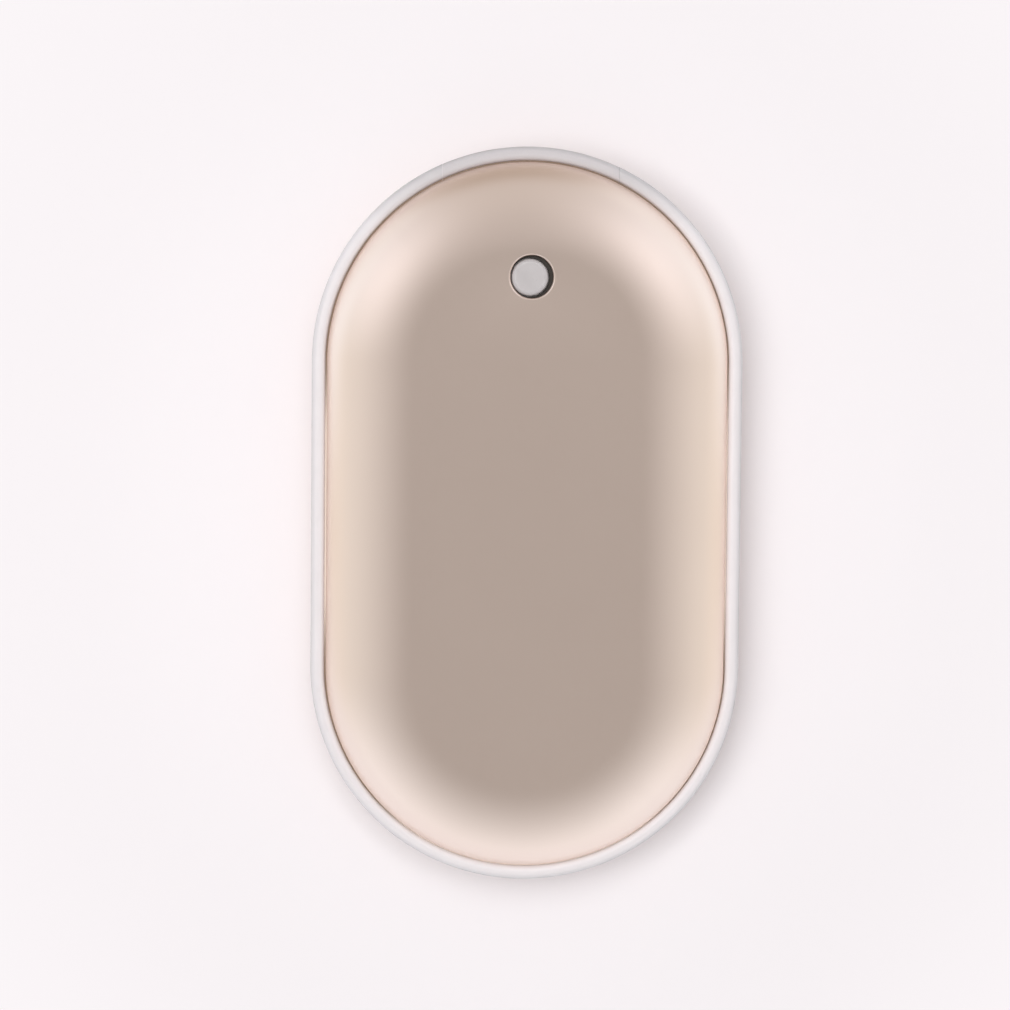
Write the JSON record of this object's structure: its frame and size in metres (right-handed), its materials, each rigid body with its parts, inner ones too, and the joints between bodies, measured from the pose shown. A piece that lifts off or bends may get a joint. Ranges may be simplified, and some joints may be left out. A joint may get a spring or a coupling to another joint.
{
  "type": "rechargeable hand warmer",
  "caption": "Flat pebble-shaped pocket hand warmer: metal covers on a plastic rim, a push button on the front, sockets in the rim, and cells, heating films and a control board inside.",
  "frame": {"origin": "centre of the flat back face that the object lies on", "axes": "+Z out of the front face with the button, +Y along the length towards the button end, +X to the right seen from the front"},
  "size_m": [0.0584, 0.1, 0.0251],
  "materials": {
    "gold_aluminium": "bead-blasted and anodised champagne gold, satin",
    "white_abs": "moulded, glossy white",
    "grey_abs": "moulded, light grey",
    "button_plastic": "moulded, cloudy white",
    "black_abs": "moulded, fine texture",
    "screw_steel": "zinc plated",
    "polyimide": "amber film with etched tracks",
    "white_silicone": "wire insulation",
    "black_silicone": "wire insulation",
    "yellow_pvc": "wire insulation",
    "cell_wrap": "shrink-wrapped can",
    "fish_paper": "pressed paper",
    "nickel": "rolled strip",
    "epoxy": "dipped bead",
    "grey_foam": "closed-cell foam",
    "board_laminate": "green solder mask",
    "switch_nylon": "moulded",
    "sheet_steel": "tin plated",
    "led_resin": "clear resin over phosphor",
    "ferrite": "sintered",
    "chip_resin": "moulded",
    "ceramic": "fired ceramic",
    "socket_plastic": "moulded",
    "gold_contact": "plated"
  },
  "bodies": {
    "housing": {"front_cover": "gold_aluminium", "back_cover": "gold_aluminium", "mid_frame": "white_abs", "port_panel": "grey_abs", "front_liner": "black_abs", "back_liner": "black_abs", "case_screws": "screw_steel", "board_screws": "screw_steel", "front_heater": "polyimide", "back_heater": "polyimide", "front_heater_leads": "white_silicone", "back_heater_leads": "white_silicone", "minus_lead": "black_silicone", "thermistor_leads": "yellow_pvc", "cell_left": "cell_wrap", "cell_right": "cell_wrap", "cell_insulators": "fish_paper", "plus_strip": "nickel", "minus_strip": "nickel", "thermistor": "epoxy", "foam_strips": "grey_foam", "main_board": "board_laminate", "switch_base": "switch_nylon", "switch_plate": "sheet_steel", "switch_dome": "sheet_steel", "usb_a_shell": "sheet_steel", "micro_usb_shell": "sheet_steel", "status_leds": "led_resin", "inductor": "ferrite", "control_chips": "chip_resin", "board_capacitors": "ceramic", "usb_a_tongue": "socket_plastic", "micro_usb_tongue": "socket_plastic", "usb_a_contacts": "gold_contact"},
    "button": {"button": "button_plastic"},
    "plunger": {"switch_plunger": "switch_nylon"}
  },
  "joints": [
    {"name": "button_press", "type": "slide", "parent": "housing", "child": "button", "axis": [0, 0, -1], "range_m": [0, 0.0003], "stiffness_N_per_m": 2000, "springref_m": -0.0002},
    {"name": "plunger_press", "type": "slide", "parent": "housing", "child": "plunger", "axis": [0, 0, -1], "range_m": [0, 0.0003], "deforming": ["switch_dome"]}
  ],
  "couplings": [
    {"joint": "plunger_press", "follows": "button_press", "ratio": 1}
  ]
}
